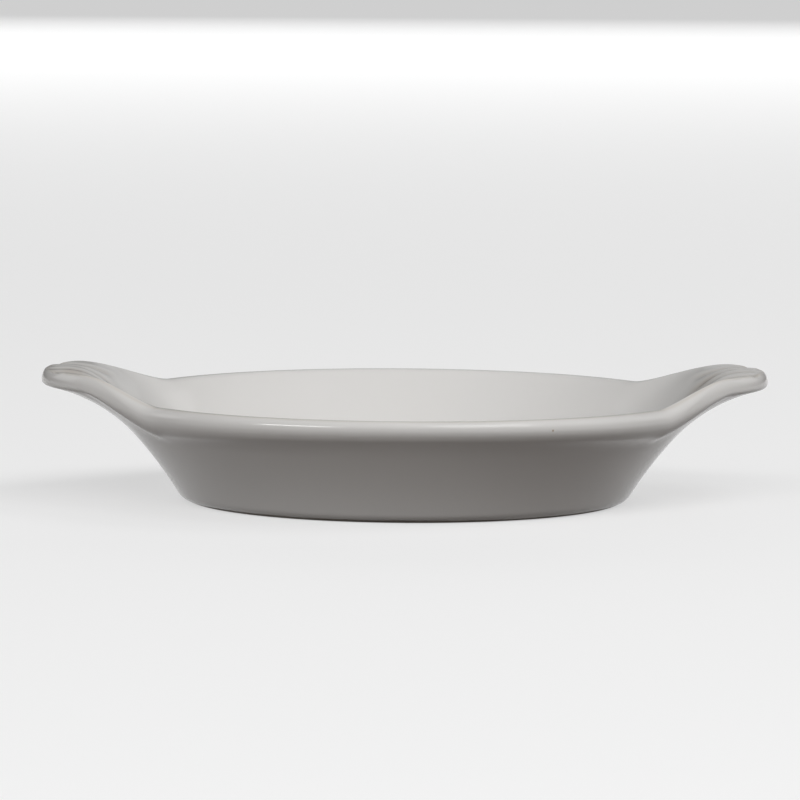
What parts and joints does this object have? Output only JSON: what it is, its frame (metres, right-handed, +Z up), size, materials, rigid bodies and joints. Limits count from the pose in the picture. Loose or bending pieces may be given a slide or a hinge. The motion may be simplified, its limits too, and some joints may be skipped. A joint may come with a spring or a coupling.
{
  "type": "gratin dish",
  "caption": "Shallow round white-glazed ceramic baking dish with a flared wall, a rounded rim and up-curved fluted carrying ears.",
  "frame": {"origin": "centre of the standing plane, under the middle of the bowl", "axes": "+Z up, +X from one ear to the other (towards the right ear in the picture), +Y towards the back rim"},
  "size_m": [0.192, 0.157, 0.0352],
  "materials": {
    "glaze": "glossy white glaze, slightly warm where it thins over edges",
    "bare_clay": "matt unglazed clay, wiped bare where the dish stands"
  },
  "bodies": {
    "root": {"foot_ring": "bare_clay", "dish_floor": "glaze", "heel": "glaze", "side_wall": "glaze", "front_rim": "glaze", "back_rim": "glaze", "left_ear": "glaze", "right_ear": "glaze"}
  },
  "joints": []
}
